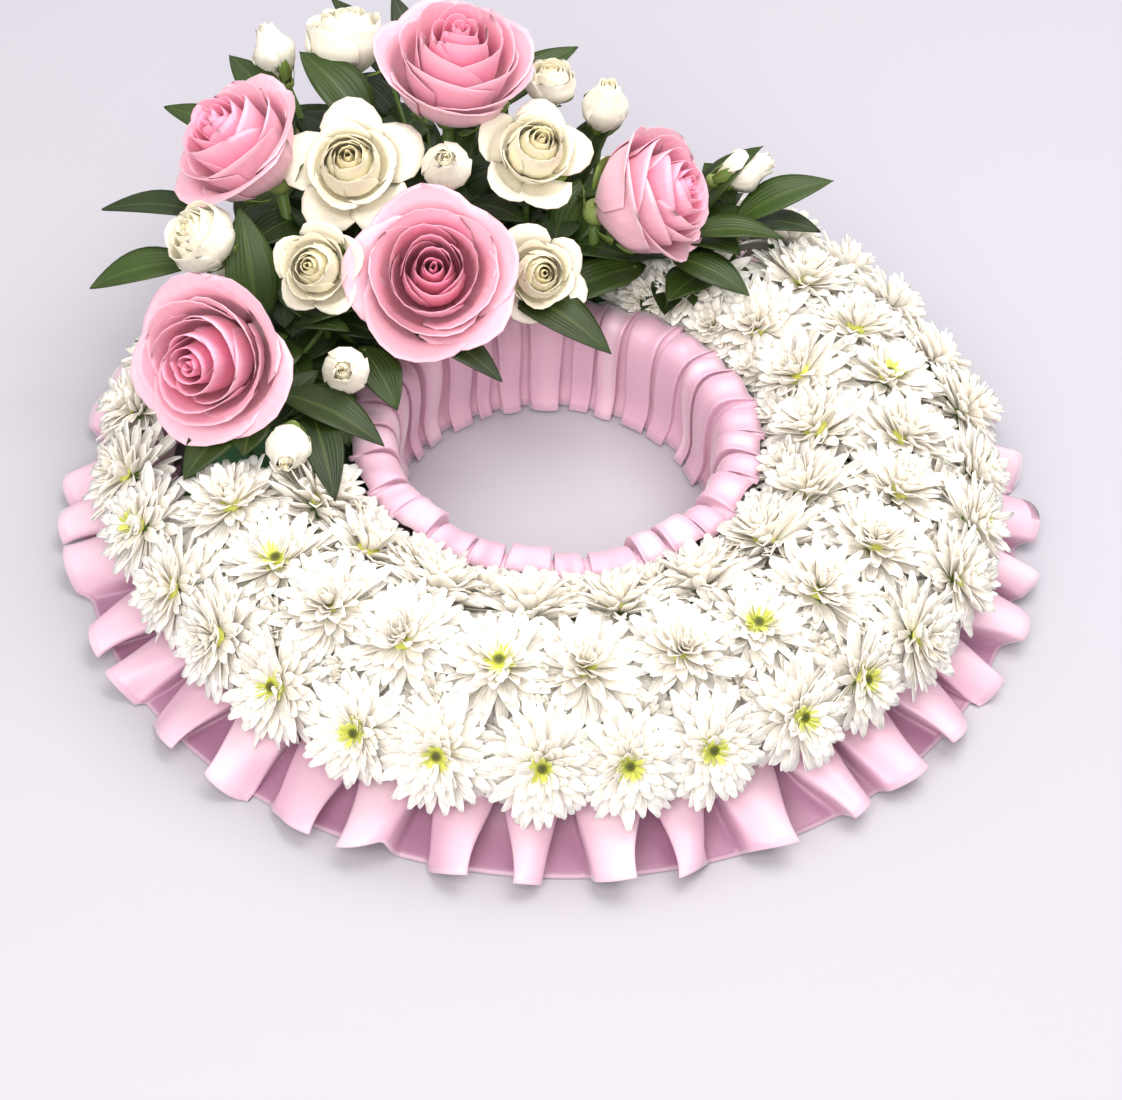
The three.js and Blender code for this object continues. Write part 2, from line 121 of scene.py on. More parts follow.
# Broad leaves that close the sight between the stems, by the number of the sprig they grow on.
SCREENING_LEAVES = {
    1: (((-129, 73, 62), (-153, 77, 76), 24),),
    2: (((-108, 98, 72), (-136, 58, 82), 26), ((-112, 104, 70), (-100, 62, 84), 22),
        ((-134, 120, 78), (-108, 157, 88), 26), ((-142, 91, 72), (-117, 112, 82), 26)),
    4: (((-60, 134, 70), (-90, 172, 84), 26), ((-56, 136, 74), (-84, 124, 92), 22),
        ((-88, 137, 72), (-59, 169, 86), 26), ((-79, 163, 80), (-100, 169, 96), 24)),
    5: (((-36, 120, 70), (-76, 98, 84), 26), ((-18, 122, 66), (-30, 92, 88), 24),
        ((-57, 116, 68), (-30, 132, 80), 26), ((-43, 111, 62), (-11, 115, 72), 24)),
    7: (((-3, 100, 60), (12, 132, 80), 24), ((-12, 105, 58), (31, 88, 66), 26)),
    9: (((-96, 38, 60), (-127, 62, 74), 24),),
    10: (((-104, -12, 54), (-86, -54, 50), 22), ((-100, 6, 58), (-82, -26, 54), 22)),
}


# ---- small helpers ----
def scatter(n):
    """An even spread of values in -1..1, the same as in the part's source."""
    return 2 * ((n * 0.618034 + 0.5) % 1) - 1


def polar(radius, angle, z=0.0):
    return Vector((radius * math.cos(angle), radius * math.sin(angle), z))


def smooth(low, high, value):
    share = min(1.0, max(0.0, (value - low) / (high - low)))
    return share * share * (3 - 2 * share)


def mix(a, b, share):
    return a + (b - a) * share


def facing_turn(facing, spin=0.0):
    """The turn that points +Z along `facing`, after a spin about its own axis."""
    turn = UP.rotation_difference(Vector(facing).normalized())
    return turn @ Quaternion(UP, spin)


def placed(position, facing, spin=0.0):
    """From a flower's own millimetres to the wreath's metres."""
    turn = facing_turn(facing, spin).to_matrix().to_4x4()
    return Matrix.Scale(MM, 4) @ Matrix.Translation(Vector(position)) @ turn


def linear(hex_colour):
    """An sRGB hex colour as linear RGBA."""
    channels = [int(hex_colour[k:k + 2], 16) / 255 for k in (1, 3, 5)]
    return [c / 12.92 if c <= 0.04045 else ((c + 0.055) / 1.055) ** 2.4 for c in channels] + [1.0]


# ---- materials ----
def add_node(tree, kind, settings=(), **inputs):
    """Adds a node with its settings, and links or sets its inputs by name."""
    made = tree.nodes.new(kind)
    for name, value in dict(settings).items():
        setattr(made, name, value)
    for name, value in inputs.items():
        socket = made.inputs[int(name[1:]) if name[0] == "_" else name.replace("_", " ")]
        if isinstance(value, bpy.types.NodeSocket):
            tree.links.new(value, socket)
        else:
            socket.default_value = value
    return made


def colour_steps(ramp, steps):
    """Sets a colour ramp's stops from (position, hex) pairs."""
    elements = ramp.color_ramp.elements
    while len(elements) < len(steps):
        elements.new(0.5)
    for element, (position, colour) in zip(elements, steps):
        element.position = position
        element.color = linear(colour)


def new_material(name):
    material = bpy.data.materials.new(name)
    material.use_nodes = True
    tree = material.node_tree
    return material, tree, tree.nodes["Principled BSDF"]


def petal_material(name, by_layer, base_tint, base_reach, rim_tint, rim_share, roughness, ridge):
    """Living petal: soft and matt, its colour set by how far out the petal sits in the bloom,
    tinted towards the base and along the rim, with fine lengthwise ridges."""
    material, tree, shader = new_material(name)
    layer = add_node(tree, "ShaderNodeAttribute", {"attribute_name": "layer"})
    along = add_node(tree, "ShaderNodeAttribute", {"attribute_name": "along"})
    across = add_node(tree, "ShaderNodeAttribute", {"attribute_name": "across"})
    tone = add_node(tree, "ShaderNodeAttribute", {"attribute_name": "tone"})
    place = add_node(tree, "ShaderNodeTexCoord")
    cloud = add_node(tree, "ShaderNodeTexNoise", Vector=place.outputs["Object"],
                     Scale=90.0, Detail=2.0)
    wander = add_node(tree, "ShaderNodeMath", {"operation": "MULTIPLY_ADD"},
                      _0=cloud.outputs["Fac"], _1=0.16, _2=layer.outputs["Fac"])
    ramp = add_node(tree, "ShaderNodeValToRGB", Fac=wander.outputs[0])
    colour_steps(ramp, by_layer)
    root = add_node(tree, "ShaderNodeMapRange", {"interpolation_type": "SMOOTHSTEP"},
                    Value=along.outputs["Fac"], From_Min=0.0, From_Max=base_reach,
                    To_Min=1.0, To_Max=0.0)
    rooted = add_node(tree, "ShaderNodeMix", {"data_type": "RGBA"}, Factor=root.outputs[0],
                      _6=ramp.outputs["Color"], _7=linear(base_tint))
    rim = add_node(tree, "ShaderNodeMapRange", {"interpolation_type": "SMOOTHSTEP"},
                   Value=along.outputs["Fac"], From_Min=0.7, From_Max=1.0,
                   To_Min=0.0, To_Max=rim_share)
    rimmed = add_node(tree, "ShaderNodeMix", {"data_type": "RGBA"}, Factor=rim.outputs[0],
                      _6=rooted.outputs[2], _7=linear(rim_tint))
    value = add_node(tree, "ShaderNodeMapRange", Value=tone.outputs["Fac"],
                     To_Min=0.95, To_Max=1.0)
    shaded = add_node(tree, "ShaderNodeHueSaturation", Color=rimmed.outputs[2],
                      Value=value.outputs[0])
    tree.links.new(shaded.outputs["Color"], shader.inputs["Base Color"])
    ridges = add_node(tree, "ShaderNodeMath", {"operation": "MULTIPLY"},
                      _0=across.outputs["Fac"], _1=ridge)
    wave = add_node(tree, "ShaderNodeMath", {"operation": "SINE"}, _0=ridges.outputs[0])
    bump = add_node(tree, "ShaderNodeBump", Strength=0.25, Distance=0.0002, Height=wave.outputs[0])
    tree.links.new(bump.outputs["Normal"], shader.inputs["Normal"])
    shader.inputs["Roughness"].default_value = roughness
    shader.inputs["Subsurface Weight"].default_value = 0.15
    shader.inputs["Subsurface Radius"].default_value = (1.0, 0.8, 0.7)
    shader.inputs["Subsurface Scale"].default_value = 0.001
    shader.inputs["Sheen Weight"].default_value = 0.2
    return material


def disc_floret_material():
    """The eye of a spray chrysanthemum: tight lime florets, a little darker in the middle."""
    material, tree, shader = new_material("disc_florets")
    along = add_node(tree, "ShaderNodeAttribute", {"attribute_name": "along"})
    ramp = add_node(tree, "ShaderNodeValToRGB", Fac=along.outputs["Fac"])
    colour_steps(ramp, ((0.0, "#33380c"), (0.34, "#5b5f17"), (0.6, "#b9bd35"), (1.0, "#e2e676")))
    tree.links.new(ramp.outputs["Color"], shader.inputs["Base Color"])
    place = add_node(tree, "ShaderNodeTexCoord")
    florets = add_node(tree, "ShaderNodeTexVoronoi", Vector=place.outputs["Object"], Scale=1000.0)
    bump = add_node(tree, "ShaderNodeBump", Strength=0.7, Distance=0.0006,
                    Height=florets.outputs["Distance"])
    tree.links.new(bump.outputs["Normal"], shader.inputs["Normal"])
    shader.inputs["Roughness"].default_value = 0.6
    return material


def leaf_material(name, face, dark, vein, roughness):
    """Waxy foliage: a darker blade with a paler midrib, fine parallel veins and a soft gloss."""
    material, tree, shader = new_material(name)
    across = add_node(tree, "ShaderNodeAttribute", {"attribute_name": "across"})
    tone = add_node(tree, "ShaderNodeAttribute", {"attribute_name": "tone"})
    place = add_node(tree, "ShaderNodeTexCoord")
    cloud = add_node(tree, "ShaderNodeTexNoise", Vector=place.outputs["Object"],
                     Scale=60.0, Detail=3.0)
    blend = add_node(tree, "ShaderNodeMath", {"operation": "MULTIPLY_ADD", "use_clamp": True},
                     _0=cloud.outputs["Fac"], _1=0.6, _2=tone.outputs["Fac"])
    blade = add_node(tree, "ShaderNodeMix", {"data_type": "RGBA"}, Factor=blend.outputs[0],
                     _6=linear(dark), _7=linear(face))
    side = add_node(tree, "ShaderNodeMath", {"operation": "ABSOLUTE"}, _0=across.outputs["Fac"])
    rib = add_node(tree, "ShaderNodeMapRange", {"interpolation_type": "SMOOTHSTEP"},
                   Value=side.outputs[0], From_Min=0.02, From_Max=0.1, To_Min=0.35, To_Max=0.0)
    ribbed = add_node(tree, "ShaderNodeMix", {"data_type": "RGBA"}, Factor=rib.outputs[0],
                      _6=blade.outputs[2], _7=linear(vein))
    tree.links.new(ribbed.outputs[2], shader.inputs["Base Color"])
    lines = add_node(tree, "ShaderNodeMath", {"operation": "MULTIPLY"},
                     _0=across.outputs["Fac"], _1=34.0)
    wave = add_node(tree, "ShaderNodeMath", {"operation": "SINE"}, _0=lines.outputs[0])
    bump = add_node(tree, "ShaderNodeBump", Strength=0.4, Distance=0.00015, Height=wave.outputs[0])
    tree.links.new(bump.outputs["Normal"], shader.inputs["Normal"])
    shader.inputs["Roughness"].default_value = roughness
    shader.inputs["Specular IOR Level"].default_value = 0.35
    shader.inputs["Subsurface Weight"].default_value = 0.08
    shader.inputs["Subsurface Scale"].default_value = 0.001
    return material


def satin_material():
    """Woven satin ribbon: long warp floats give a sharp sheen across the folds. Its colour deepens
    in the hollows and at the crests' sides as painted shade. The real threads are about 0.1 mm
    apart, and are drawn at 0.6 mm so that they show."""
    material, tree, shader = new_material("pink_satin_ribbon")
    across = add_node(tree, "ShaderNodeAttribute", {"attribute_name": "across"})
    along = add_node(tree, "ShaderNodeAttribute", {"attribute_name": "along"})
    layer = add_node(tree, "ShaderNodeAttribute", {"attribute_name": "layer"})
    place = add_node(tree, "ShaderNodeTexCoord")
    cloud = add_node(tree, "ShaderNodeTexNoise", Vector=place.outputs["Object"],
                     Scale=18.0, Detail=2.0)
    # Painted shade: the value read here is low deep in the folds, and the ramp below turns it into
    # darker mauve satin there.
    depth = add_node(tree, "ShaderNodeMath", {"operation": "MULTIPLY_ADD"},
                     _0=cloud.outputs["Fac"], _1=0.24, _2=layer.outputs["Fac"])
    base = add_node(tree, "ShaderNodeValToRGB", Fac=depth.outputs[0])
    colour_steps(base, ((0.1, "#a0708a"), (0.4, "#cd9eb4"), (0.75, "#deb4c5"), (1.0, "#e8c9d4")))
    hem = add_node(tree, "ShaderNodeMapRange", {"interpolation_type": "SMOOTHSTEP"},
                   Value=along.outputs["Fac"], From_Min=0.955, From_Max=0.98,
                   To_Min=0.0, To_Max=0.3)
    edged = add_node(tree, "ShaderNodeMix", {"data_type": "RGBA"}, Factor=hem.outputs[0],
                     _6=base.outputs["Color"], _7=linear("#f7e0ea"))
    tree.links.new(edged.outputs[2], shader.inputs["Base Color"])
    threads = add_node(tree, "ShaderNodeMath", {"operation": "SINE"}, _0=across.outputs["Fac"])
    bump = add_node(tree, "ShaderNodeBump", Strength=0.1, Distance=0.0001,
                    Height=threads.outputs[0])
    tree.links.new(bump.outputs["Normal"], shader.inputs["Normal"])
    shader.inputs["Roughness"].default_value = 0.32
    shader.inputs["Specular IOR Level"].default_value = 0.55
    shader.inputs["Sheen Weight"].default_value = 0.4
    shader.inputs["Sheen Roughness"].default_value = 0.35
    return material


def polystyrene_material():
    """Expanded polystyrene: white beads about 3 mm across, pressed together."""
    material, tree, shader = new_material("expanded_polystyrene")
    place = add_node(tree, "ShaderNodeTexCoord")
    beads = add_node(tree, "ShaderNodeTexVoronoi", Vector=place.outputs["Object"], Scale=330.0)
    ramp = add_node(tree, "ShaderNodeValToRGB", Fac=beads.outputs["Distance"])
    colour_steps(ramp, ((0.0, "#f7f6f2"), (0.5, "#f2f0ea"), (0.9, "#dcd9d2")))
    tree.links.new(ramp.outputs["Color"], shader.inputs["Base Color"])
    bump = add_node(tree, "ShaderNodeBump", {"invert": True}, Strength=0.5, Distance=0.0005,
                    Height=beads.outputs["Distance"])
    tree.links.new(bump.outputs["Normal"], shader.inputs["Normal"])
    shader.inputs["Roughness"].default_value = 0.65
    return material


def wet_foam_material():
    """Floral foam: a fine open-celled green foam, darker where it holds water."""
    material, tree, shader = new_material("wet_floral_foam")
    place = add_node(tree, "ShaderNodeTexCoord")
    cells = add_node(tree, "ShaderNodeTexNoise", Vector=place.outputs["Object"],
                     Scale=900.0, Detail=4.0)
    damp = add_node(tree, "ShaderNodeTexNoise", Vector=place.outputs["Object"],
                    Scale=25.0, Detail=3.0)
    base = add_node(tree, "ShaderNodeMix", {"data_type": "RGBA"}, Factor=damp.outputs["Fac"],
                    _6=linear("#2f5636"), _7=linear("#4b7a4e"))
    tree.links.new(base.outputs[2], shader.inputs["Base Color"])
    bump = add_node(tree, "ShaderNodeBump", Strength=0.6, Distance=0.0004,
                    Height=cells.outputs["Fac"])
    tree.links.new(bump.outputs["Normal"], shader.inputs["Normal"])
    shader.inputs["Roughness"].default_value = 0.9
    return material


WHITE_PETAL = petal_material(
    "white_chrysanthemum_petal",
    by_layer=((0.12, "#dde068"), (0.3, "#f2f1c8"), (0.55, "#fff6e6"), (1.0, "#fff9ef")),
    base_tint="#e6e9ae", base_reach=0.32, rim_tint="#fffdf6", rim_share=0.5,
    roughness=0.55, ridge=14.0)
PINK_PETAL = petal_material(
    "pink_rose_petal",
    by_layer=((0.1, "#ff5696"), (0.38, "#fb78a6"), (0.7, "#f59ab6"), (1.0, "#f2b8c7")),
    base_tint="#f0a8b6", base_reach=0.3, rim_tint="#f9d3df", rim_share=0.4,
    roughness=0.5, ridge=40.0)
CREAM_PETAL = petal_material(
    "cream_spray_rose_petal",
    by_layer=((0.1, "#f2e0a2"), (0.45, "#f5eac2"), (1.0, "#f7f0dc")),
    base_tint="#dcdf98", base_reach=0.35, rim_tint="#f9f2dd", rim_share=0.3,
    roughness=0.5, ridge=26.0)
EYE = disc_floret_material()
RUSCUS_LEAF = leaf_material("ruscus_leaf", "#3b511b", "#1b270b", "#617237", 0.42)
SEPAL = leaf_material("rose_sepal", "#7f9549", "#566f2e", "#a9b670", 0.5)
STEM = leaf_material("flower_stem", "#5f7a36", "#425a24", "#5f7a36", 0.45)
SATIN = satin_material()


# ---- building blocks ----
LAYERS = ("along", "across", "layer", "tone")


def new_shape():
    """An empty bmesh that carries the four numbers that the petal and leaf materials read."""
    shape = bmesh.new()
    for name in LAYERS:
        shape.verts.layers.float.new(name)
    return shape


def blade(shape, columns, rows, form, matrix, thick, tone, layer=0.0, slot=0):
    """A petal or leaf: a grid whose points `form(across, along)` puts in place, across in -1..1
    and along in 0..1 from base to tip, then given its thickness in millimetres. `slot` is the
    number of its material on the piece."""
    made = bmesh.ops.create_grid(shape, x_segments=columns, y_segments=rows, size=1.0)
    keys = [shape.verts.layers.float[name] for name in LAYERS]
    faces = set()
    for vert in made["verts"]:
        across, along = vert.co.x, (vert.co.y + 1) / 2
        for key, value in zip(keys, (along, across, layer, tone)):
            vert[key] = value
        vert.co = matrix @ Vector(form(across, along))
        faces.update(vert.link_faces)
    for face in faces:
        face.material_index = slot
        face.smooth = True
    bmesh.ops.solidify(shape, geom=list(faces), thickness=thick * MM)


def rounded(shape, matrix, slot):
    """A ball that `matrix` stretches and puts in place. `along` runs out from its top."""
    made = bmesh.ops.create_uvsphere(shape, u_segments=12, v_segments=8, radius=1.0)
    along = shape.verts.layers.float["along"]
    tones = shape.verts.layers.float["tone"]
    for vert in made["verts"]:
        vert[along] = math.hypot(vert.co.x, vert.co.y)
        vert[tones] = 0.5
        for face in vert.link_faces:
            face.material_index = slot
            face.smooth = True
    bmesh.ops.transform(shape, matrix=matrix, verts=made["verts"])


def stalk(shape, start, end, radius, slot):
    """A straight stem between two points in millimetres, a little thinner at its end."""
    start, end = Vector(start), Vector(end)
    along = end - start
    matrix = placed((start + end) / 2, along)
    made = bmesh.ops.create_cone(shape, cap_ends=True, segments=8, radius1=radius,
                                 radius2=radius * 0.9, depth=along.length, matrix=matrix)
    tones = shape.verts.layers.float["tone"]
    for vert in made["verts"]:
        vert[tones] = 0.4
        for face in vert.link_faces:
            face.material_index = slot
            face.smooth = True


def finished(shape, name, materials, node, clean=True):
    """Turns a bmesh into a piece that rides on the wreath and stands for the solid `node`."""
    if clean:
        bmesh.ops.recalc_face_normals(shape, faces=shape.faces)
    mesh = bpy.data.meshes.new(name)
    shape.to_mesh(mesh)
    shape.free()
    for material in materials:
        mesh.materials.append(material)
    piece = bpy.data.objects.new(name, mesh)
    bpy.context.scene.collection.objects.link(piece)
    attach(piece, "root")
    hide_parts(node)
    return piece


# ---- chrysanthemums ----
def chrysanthemum_petal(length, width, cup, bend):
    """A narrow petal: slim at its root, widest past the middle, with a blunt rounded tip."""
    def form(across, along):
        swell = 0.34 + 0.66 * smooth(0, 0.62, along)
        tip = math.sqrt(max(0.0, 1 - 0.86 * (max(0.0, along - 0.66) / 0.34) ** 2))
        half = width / 2 * swell * tip
        reach = length * (along - 0.035 * across * across * smooth(0.6, 1, along))
        rise = cup * across * across * half + length * bend * along * along
        return reach, across * half, rise
    return form


# Rings of petals from the outside in: how many, length, width, climb in degrees, and the height
# of their roots. The first hangs down over the calyx. The last ones are the short lime petals
# round an open eye, or the petals that close over a hidden one.
HEAD_RINGS = (
    (19, 23, 5.2, -16, 5),
    (22, 23, 5.0, -1, 5.5),
    (22, 21.5, 4.8, 9, 6),
    (21, 19.5, 4.6, 19, 6.5),
    (19, 16.5, 4.4, 30, 7.5),
    (16, 12.5, 4.0, 42, 8.5),
    (14, 6.4, 2.4, 36, 10),
)
HIDDEN_EYE_RINGS = HEAD_RINGS[:5] + (
    (15, 14, 4.5, 45, 9),
    (12, 12, 4.2, 60, 9.5),
    (8, 10.5, 3.8, 75, 10),
)
LIME_PETAL_LENGTH = 7  # petals shorter than this are the lime ones round the eye
PETAL_ROOT = 1.8  # how far out from the middle a petal starts


def chrysanthemum_head(seed, rings):
    """One head, in metres, facing +Z with its calyx at the origin."""
    rng = random.Random(seed)
    shape = new_shape()
    for level, (count, length, width, climb, root) in enumerate(rings):
        for k in range(count):
            turn = TURN * (k + 0.5 * (level % 2)) / count + rng.uniform(-0.12, 0.12)
            lift = math.radians(climb + rng.uniform(-11, 11))
            form = chrysanthemum_petal(length * rng.uniform(0.8, 1.03),
                                       width * rng.uniform(0.9, 1.1), rng.uniform(0.3, 0.7),
                                       rng.uniform(-0.12, 0.16) - 0.12 * (level == 0))
            matrix = (Matrix.Scale(MM, 4) @ Matrix.Translation((0, 0, root))
                      @ Matrix.Rotation(turn, 4, "Z") @ Matrix.Rotation(-lift, 4, "Y")
                      @ Matrix.Translation((PETAL_ROOT, 0, 0))
                      @ Matrix.Rotation(rng.uniform(-0.6, 0.6), 4, "X"))
            whiteness = 0.0 if length < LIME_PETAL_LENGTH else 1.0 - 0.06 * level
            blade(shape, 2, 5, form, matrix, 0.35, rng.random(), layer=whiteness)
    for slot, height, radii in ((1, 10.5, (4.2, 4.2, 2.4, 1)), (2, 4.2, (6, 6, 4.2, 1))):
        place = Matrix.Scale(MM, 4) @ Matrix.Translation((0, 0, height)) @ Matrix.Diagonal(radii)
        rounded(shape, place, slot)  # first the eye, then the calyx
    bmesh.ops.recalc_face_normals(shape, faces=shape.faces)
    mesh = bpy.data.meshes.new("chrysanthemum_head")
    shape.to_mesh(mesh)
    shape.free()
    return mesh


def row_of_heads(row):
    """Each head's calyx, the way it faces, its size and its spin, scattered as in the part."""
    heads = []
    for k in range(row["count"]):
        degrees = row["start"] + k * 360 / row["count"]
        if degrees > row["end"]:
            break
        seed = row["seed"]
        angle = math.radians(degrees + 1.1 * scatter(seed + k))
        lean = math.radians(row["lean"] + 4 * scatter(seed + 2 * k))
        facing = polar(math.sin(lean), angle, math.cos(lean))
        radius = row["radius"] + 1.5 * scatter(seed + 3 * k)
        eye = polar(radius, angle, row["z"] + 1.5 * scatter(seed + 5 * k))
        size = 1 + 0.04 * scatter(seed + 7 * k)
        heads.append((eye - facing * HEAD_DEPTH * size, facing, size, 3 * scatter(seed + 11 * k)))
    return heads


def side_shoots(row, heads):
    """Half-open heads on short shoots, tucked in between a row's heads and beside them."""
    radius, z, lean, size = row["shoots"]
    lean = math.radians(lean)
    shoots = []
    for k, (base, facing, _, spin) in enumerate(heads):
        angle = math.atan2(base.y, base.x) + TURN / row["count"] / 2
        way = polar(math.sin(lean), angle, math.cos(lean))
        shoots.append((polar(radius, angle, z + 2 * scatter(7 * k)), way, size, spin))
    return shoots


def add_head(shape, head_mesh, base, facing, spin, scale):
    """Puts a copy of a finished head on a sprig."""
    before = len(shape.verts)
    shape.from_mesh(head_mesh)
    shape.verts.ensure_lookup_table()
    turn = facing_turn(facing, spin).to_matrix().to_4x4()
    matrix = Matrix.Translation(base * MM) @ turn @ Matrix.Scale(scale, 4)
    bmesh.ops.transform(shape, matrix=matrix, verts=shape.verts[before:])


def chrysanthemums():
    """Sprigs of up to three heads on one forked stem, with the half-open heads between them."""
    open_heads = [chrysanthemum_head(seed, HEAD_RINGS) for seed in (1, 2, 3)]
    closed_heads = [chrysanthemum_head(seed, HIDDEN_EYE_RINGS) for seed in (4, 5, 6)]
    rng = random.Random(11)
    number = 0
    for row in (FLANK, CROWN, LIP):
        heads = row_of_heads(row)
        for first in range(0, len(heads), HEADS_ON_A_STEM):
            number += 1
            mine = heads[first:first + HEADS_ON_A_STEM]
            shape = new_shape()
            for k, (base, facing, size, spin) in enumerate(mine, first):
                pool = open_heads if k in row["open"] else closed_heads
                add_head(shape, rng.choice(pool), base, facing, spin, size * row["spread"])
            if "shoots" in row:
                for base, facing, size, spin in side_shoots(row, mine):
                    add_head(shape, rng.choice(closed_heads), base, facing, spin, size)
            base, facing = mine[len(mine) // 2][:2]
            fork = base + facing * HEAD_DEPTH / 4
            stalk(shape, fork, base - facing * row["stem"], 1.6, slot=2)
            for other, way, *_ in mine:
                neck = other + way * HEAD_DEPTH / 4
                if (neck - fork).length > 1:
                    stalk(shape, fork, neck, 1.5, slot=2)
            name = f"chrysanthemum_{number:02d}"
            finished(shape, f"{name}_flowers", (WHITE_PETAL, EYE, STEM), name,
                     clean=False)


# ---- roses ----
def rose_petal(rim, height, wrap, lean, roll, point, ruffle, phase):
    """One petal wrapped round the bloom's axis. It swells from a narrow root, then leans in
    (lean below 0) or out, and `roll` folds its rim back. `point` pulls the rim's middle out."""
    def form(across, along):
        angle = across * wrap * (0.5 + 0.5 * smooth(0, 0.5, along))
        tip = point * smooth(0.7, 1, along) * (1 - abs(across)) ** 1.5
        along *= 1 - 0.3 * abs(across) ** 3
        z = height * (0.08 + 0.92 * along)
        belly = rim * (0.2 + 0.8 * math.sin(min(1.0, along / 0.62) * math.pi / 2))
        lip = smooth(0.5, 1, along)
        radius = belly * max(0.03, 1 + lean * lip * (1 + 0.25 * across ** 2))
        z -= roll * height * smooth(0.66, 1, along) ** 1.4 * (0.7 + 0.3 * across ** 2)
        radius += roll * 0.5 * rim * smooth(0.72, 1, along) * (1 - 0.7 * across ** 2)
        z += tip * height * 0.4
        radius += tip * rim
        radius += 0.06 * rim * across + 0.3
        wave = ruffle * lip * math.sin(4 * across + phase)
        return (radius + wave) * math.cos(angle), (radius + wave) * math.sin(angle), z + 0.6 * wave
    return form


# Whorls of petals from the heart out: how many, rim's radius and height as shares of the bloom's,
# half the angle each petal wraps, its lean and its roll.
ROSE_WHORLS = (
    (2, 0.07, 1.01, 150, -0.50, 0.0),
    (3, 0.16, 1.02, 125, -0.32, 0.0),
    (3, 0.27, 1.02, 110, -0.22, 0.0),
    (4, 0.39, 1.00, 92, -0.10, 0.0),
    (4, 0.51, 0.96, 82, 0.02, 0.04),
    (5, 0.64, 0.90, 70, 0.13, 0.15),
    (5, 0.77, 0.81, 64, 0.20, 0.28),
)
SPRAY_ROSE_WHORLS = (
    (2, 0.14, 1.00, 150, -0.62, 0.0),
    (3, 0.29, 1.00, 112, -0.48, 0.0),
    (4, 0.43, 0.97, 92, -0.38, 0.0),
    (5, 0.56, 0.90, 74, -0.24, 0.03),
    (5, 0.68, 0.76, 50, 0.04, 0.2),
    (5, 0.86, 0.56, 38, 0.18, 0.36),
)
HALF_OPEN_WHORLS = (
    (2, 0.10, 1.00, 150, -0.70, 0.0),
    (3, 0.24, 1.00, 115, -0.60, 0.0),
    (4, 0.38, 1.00, 98, -0.52, 0.0),
    (4, 0.56, 0.99, 86, -0.44, 0.0),
    (4, 0.73, 0.96, 78, -0.33, 0.0),
    (5, 0.90, 0.88, 68, -0.16, 0.05),
)
BUD_WHORLS = (
    (2, 0.16, 1.02, 160, -0.80, 0.0),
    (3, 0.40, 1.02, 125, -0.78, 0.0),
    (3, 0.66, 1.00, 108, -0.76, 0.0),
    (4, 0.94, 0.96, 90, -0.68, 0.0),
)


def bloom(shape, matrix, width, height, whorls, openness, seed, grid):
    """A rose about +Z, from a tight heart to loose outer petals."""
    rng = random.Random(seed)
    spin = 0.0
    for level, (count, rim, rise, wrap, lean, roll) in enumerate(whorls):
        share = level / (len(whorls) - 1)
        spin += GOLDEN
        for k in range(count):
            out = lean * (0.5 + openness if lean > 0 else 1) + rng.uniform(-0.03, 0.03)
            back = max(0.0, roll * (0.4 + openness) * rng.uniform(0.7, 1.25))
            form = rose_petal(width / 2 * rim * rng.uniform(0.97, 1.03),
                              height * (rise - 0.1 * openness * share) * rng.uniform(0.97, 1.02),
                              math.radians(wrap), out, back, 0.1 * share ** 2,
                              width * 0.012 * (0.3 + share), rng.uniform(0, TURN))
            turn = spin + TURN * (k + rng.uniform(-0.12, 0.12)) / count
            blade(shape, *grid, form, matrix @ Matrix.Rotation(turn, 4, "Z"), 0.45,
                  layer=share + rng.uniform(-0.06, 0.06), tone=rng.random())


SEPALS = 5


def sepals(shape, matrix, width, length, droop, seed):
    """The calyx: a round hip and narrow pointed sepals that hug the bloom or fold back."""
    rng = random.Random(seed)
    girth = 0.07 * width + 2
    hip = matrix @ Matrix.Translation((0, 0, 0.02 * length))
    rounded(shape, hip @ Matrix.Diagonal((girth, girth, girth, 1)), slot=1)
    for k in range(SEPALS):
        bend = droop + rng.uniform(-0.15, 0.15)

        def form(across, along):
            half = 0.13 * length * math.sin(math.pi * min(1, 0.12 + 0.88 * along)) ** 0.8 + 0.05
            out = 0.16 * width + length * (0.55 * along * bend + 0.34 * along * (1 - along))
            rise = length * (along * (1 - 0.75 * bend) - 0.12 * bend * along * along)
            return out + 0.15 * half * across * across, across * half, rise + 0.02 * width

        turn = Matrix.Rotation(TURN * k / SEPALS + rng.uniform(-0.15, 0.15), 4, "Z")
        blade(shape, 2, 6, form, matrix @ turn, 0.35, rng.random() * 0.6, slot=1)


def foot_on(base):
    """Where a stem goes into the foam, straight out from the hole to below the bloom."""
    angle = math.atan2(base.y, base.x)
    out = math.hypot(base.x, base.y)
    radius = min(max(out, RING_INNER + STEM_MARGIN), RING_OUTER - STEM_MARGIN)
    return polar(radius, angle, FOAM_TOP)


def stem_under(shape, name, base, radius):
    entry = Vector((*FEET[name], FOAM_TOP)) if name in FEET else foot_on(base)
    down = (entry - base).normalized()
    stalk(shape, base, entry + down * STEM_IN_FOAM, radius, slot=2)


def flower_frame(spec, height):
    at, facing, width = spec
    facing = Vector(facing).normalized()
    base = Vector(at) - facing * height / 2
    return base, placed(base, facing, 2 * scatter(at[0] + at[1])), width


def flower(name, spec, tallness, whorls, openness, seed, calyx, stem, petal, grid):
    """One bloom with its calyx and stem. `tallness` is its height over its width, `calyx` the
    sepals' length and droop."""
    height = tallness * spec[2]
    base, matrix, width = flower_frame(spec, height)
    shape = new_shape()
    bloom(shape, matrix, width, height, whorls, openness, seed, grid)
    sepals(shape, matrix, width, *calyx, seed)
    stem_under(shape, name, base, stem)
    finished(shape, f"{name}_bloom", (petal, SEPAL, STEM), name)


